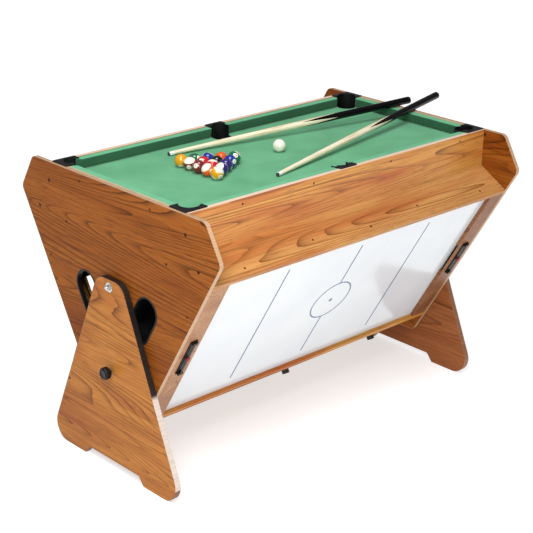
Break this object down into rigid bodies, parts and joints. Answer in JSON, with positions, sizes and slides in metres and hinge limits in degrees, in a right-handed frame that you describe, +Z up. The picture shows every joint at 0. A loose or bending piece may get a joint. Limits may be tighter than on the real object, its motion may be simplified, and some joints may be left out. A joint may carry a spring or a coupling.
{
  "type": "mini pool table",
  "caption": "Small three-sided games table: pool bed on top, hockey and football faces below, turning between two wooden end legs.",
  "frame": {"origin": "on the floor, at the middle of the whole object's box, cue butts included; the table's own middle is 42.2 mm towards -X", "axes": "+Z up, X along the table with the cue butts at +X, the hockey face to -Y, the football face to +Y"},
  "size_m": [1.3903, 0.8488, 0.8706],
  "materials": {
    "panel_laminate": "satin wood-grain laminate",
    "apron_laminate": "satin wood-grain laminate",
    "edge_band": "satin",
    "black_plastic": "satin",
    "steel": "zinc plated",
    "dark_steel": "dark plated",
    "bed_board": "plain board",
    "baize": "short woven nap",
    "cushion_rubber": "cloth covered",
    "rink_board": "gloss white board with blue-grey lines",
    "pitch_board": "green board with white lines",
    "rod_metal": "polished",
    "bumper_rubber": "matte",
    "ball_resin": "polished",
    "cue_wood": "varnished shaft, black butt",
    "marker_red": "gloss"
  },
  "bodies": {
    "stand": {"leg_near": "panel_laminate", "leg_far": "panel_laminate", "leg_edge_bands": "edge_band", "pivot_bolts": "steel", "pivot_washers": "steel"},
    "rotor": {"corner_pockets": "black_plastic", "cushion_back": "cushion_rubber", "cushion_far": "cushion_rubber", "cushion_front": "cushion_rubber", "cushion_near": "cushion_rubber", "end_panel_far": "panel_laminate", "end_panel_near": "panel_laminate", "football_apron_lower": "apron_laminate", "football_apron_upper": "apron_laminate", "football_end_far": "apron_laminate", "football_end_near": "apron_laminate", "football_field": "pitch_board", "football_goal_boxes": "black_plastic", "hockey_apron_lower": "apron_laminate", "hockey_apron_upper": "apron_laminate", "hockey_end_far": "apron_laminate", "hockey_end_near": "apron_laminate", "hockey_field": "rink_board", "hockey_goal_boxes": "black_plastic", "lock_inserts": "steel", "panel_edge_bands": "edge_band", "panel_screws": "dark_steel", "pivot_bushings": "steel", "pool_apron_back": "apron_laminate", "pool_apron_front": "apron_laminate", "pool_bed": "bed_board", "pool_cloth": "baize", "pool_end_far": "apron_laminate", "pool_end_near": "apron_laminate", "return_trims": "black_plastic", "rod_bearings": "black_plastic", "score_rail_far": "black_plastic", "score_rail_near": "black_plastic", "score_rods": "steel", "side_pockets": "black_plastic"},
    "lock_knob_near": {"lock_knob_near": "black_plastic"},
    "lock_knob_far": {"lock_knob_far": "black_plastic"},
    "score_marker_near": {"score_marker_near": "marker_red"},
    "score_marker_far": {"score_marker_far": "marker_red"},
    "cue_ball": {"cue_ball": "ball_resin"},
    "rack_balls": {"rack_balls": "ball_resin"},
    "cue_1": {"cue_1": "cue_wood"},
    "cue_2": {"cue_2": "cue_wood"},
    "rod_slide_1": {"rod_bumpers_1": "bumper_rubber"},
    "rod_1": {"football_rod_1": "rod_metal"},
    "rod_slide_2": {"rod_bumpers_2": "bumper_rubber"},
    "rod_2": {"football_rod_2": "rod_metal"},
    "rod_slide_3": {"rod_bumpers_3": "bumper_rubber"},
    "rod_3": {"football_rod_3": "rod_metal"},
    "rod_slide_4": {"rod_bumpers_4": "bumper_rubber"},
    "rod_4": {"football_rod_4": "rod_metal"},
    "rod_slide_5": {"rod_bumpers_5": "bumper_rubber"},
    "rod_5": {"football_rod_5": "rod_metal"},
    "rod_slide_6": {"rod_bumpers_6": "bumper_rubber"},
    "rod_6": {"football_rod_6": "rod_metal"}
  },
  "joints": [
    {"name": "table_turn", "type": "hinge", "parent": "stand", "child": "rotor", "pos_m": [-0.0422, 0, 0.558], "axis": [1, 0, 0], "range_deg": [-120, 120]},
    {"name": "lock_near", "type": "slide", "parent": "stand", "child": "lock_knob_near", "axis": [1, 0, 0], "range_m": [0, 0.006]},
    {"name": "lock_far", "type": "slide", "parent": "stand", "child": "lock_knob_far", "axis": [-1, 0, 0], "range_m": [0, 0.006]},
    {"name": "score_near", "type": "slide", "parent": "rotor", "child": "score_marker_near", "axis": [0, -0.5, 0.866], "range_m": [-0.052, 0.052]},
    {"name": "score_far", "type": "slide", "parent": "rotor", "child": "score_marker_far", "axis": [0, -0.5, 0.866], "range_m": [-0.052, 0.052]},
    {"name": "rod_push_1", "type": "slide", "parent": "rotor", "child": "rod_slide_1", "axis": [0, 0.5, 0.866], "range_m": [0, 0.08]},
    {"name": "rod_spin_1", "type": "hinge", "parent": "rod_slide_1", "child": "rod_1", "pos_m": [-0.4922, 0.20871, 0.4375], "axis": [0, 0.5, 0.866], "continuous": true},
    {"name": "rod_push_2", "type": "slide", "parent": "rotor", "child": "rod_slide_2", "axis": [0, -0.5, -0.866], "range_m": [0, 0.08]},
    {"name": "rod_spin_2", "type": "hinge", "parent": "rod_slide_2", "child": "rod_2", "pos_m": [-0.2972, 0.20871, 0.4375], "axis": [0, -0.5, -0.866], "continuous": true},
    {"name": "rod_push_3", "type": "slide", "parent": "rotor", "child": "rod_slide_3", "axis": [0, 0.5, 0.866], "range_m": [0, 0.08]},
    {"name": "rod_spin_3", "type": "hinge", "parent": "rod_slide_3", "child": "rod_3", "pos_m": [-0.1022, 0.20871, 0.4375], "axis": [0, 0.5, 0.866], "continuous": true},
    {"name": "rod_push_4", "type": "slide", "parent": "rotor", "child": "rod_slide_4", "axis": [0, -0.5, -0.866], "range_m": [-0.014, 0.066]},
    {"name": "rod_spin_4", "type": "hinge", "parent": "rod_slide_4", "child": "rod_4", "pos_m": [0.0178, 0.20871, 0.4375], "axis": [0, -0.5, -0.866], "continuous": true},
    {"name": "rod_push_5", "type": "slide", "parent": "rotor", "child": "rod_slide_5", "axis": [0, 0.5, 0.866], "range_m": [0, 0.08]},
    {"name": "rod_spin_5", "type": "hinge", "parent": "rod_slide_5", "child": "rod_5", "pos_m": [0.2128, 0.20871, 0.4375], "axis": [0, 0.5, 0.866], "continuous": true},
    {"name": "rod_push_6", "type": "slide", "parent": "rotor", "child": "rod_slide_6", "axis": [0, -0.5, -0.866], "range_m": [-0.014, 0.066]},
    {"name": "rod_spin_6", "type": "hinge", "parent": "rod_slide_6", "child": "rod_6", "pos_m": [0.4078, 0.20871, 0.4375], "axis": [0, -0.5, -0.866], "continuous": true},
    {"name": "cue_ball_lift", "type": "slide", "parent": "rotor", "child": "cue_ball", "axis": [0, 0, 1], "range_m": [0, 0.15]},
    {"name": "rack_balls_lift", "type": "slide", "parent": "rotor", "child": "rack_balls", "axis": [0, 0, 1], "range_m": [0, 0.15]},
    {"name": "cue_1_lift", "type": "slide", "parent": "rotor", "child": "cue_1", "axis": [0, 0, 1], "range_m": [0, 0.2]},
    {"name": "cue_2_lift", "type": "slide", "parent": "rotor", "child": "cue_2", "axis": [0, 0, 1], "range_m": [0, 0.2]}
  ]
}
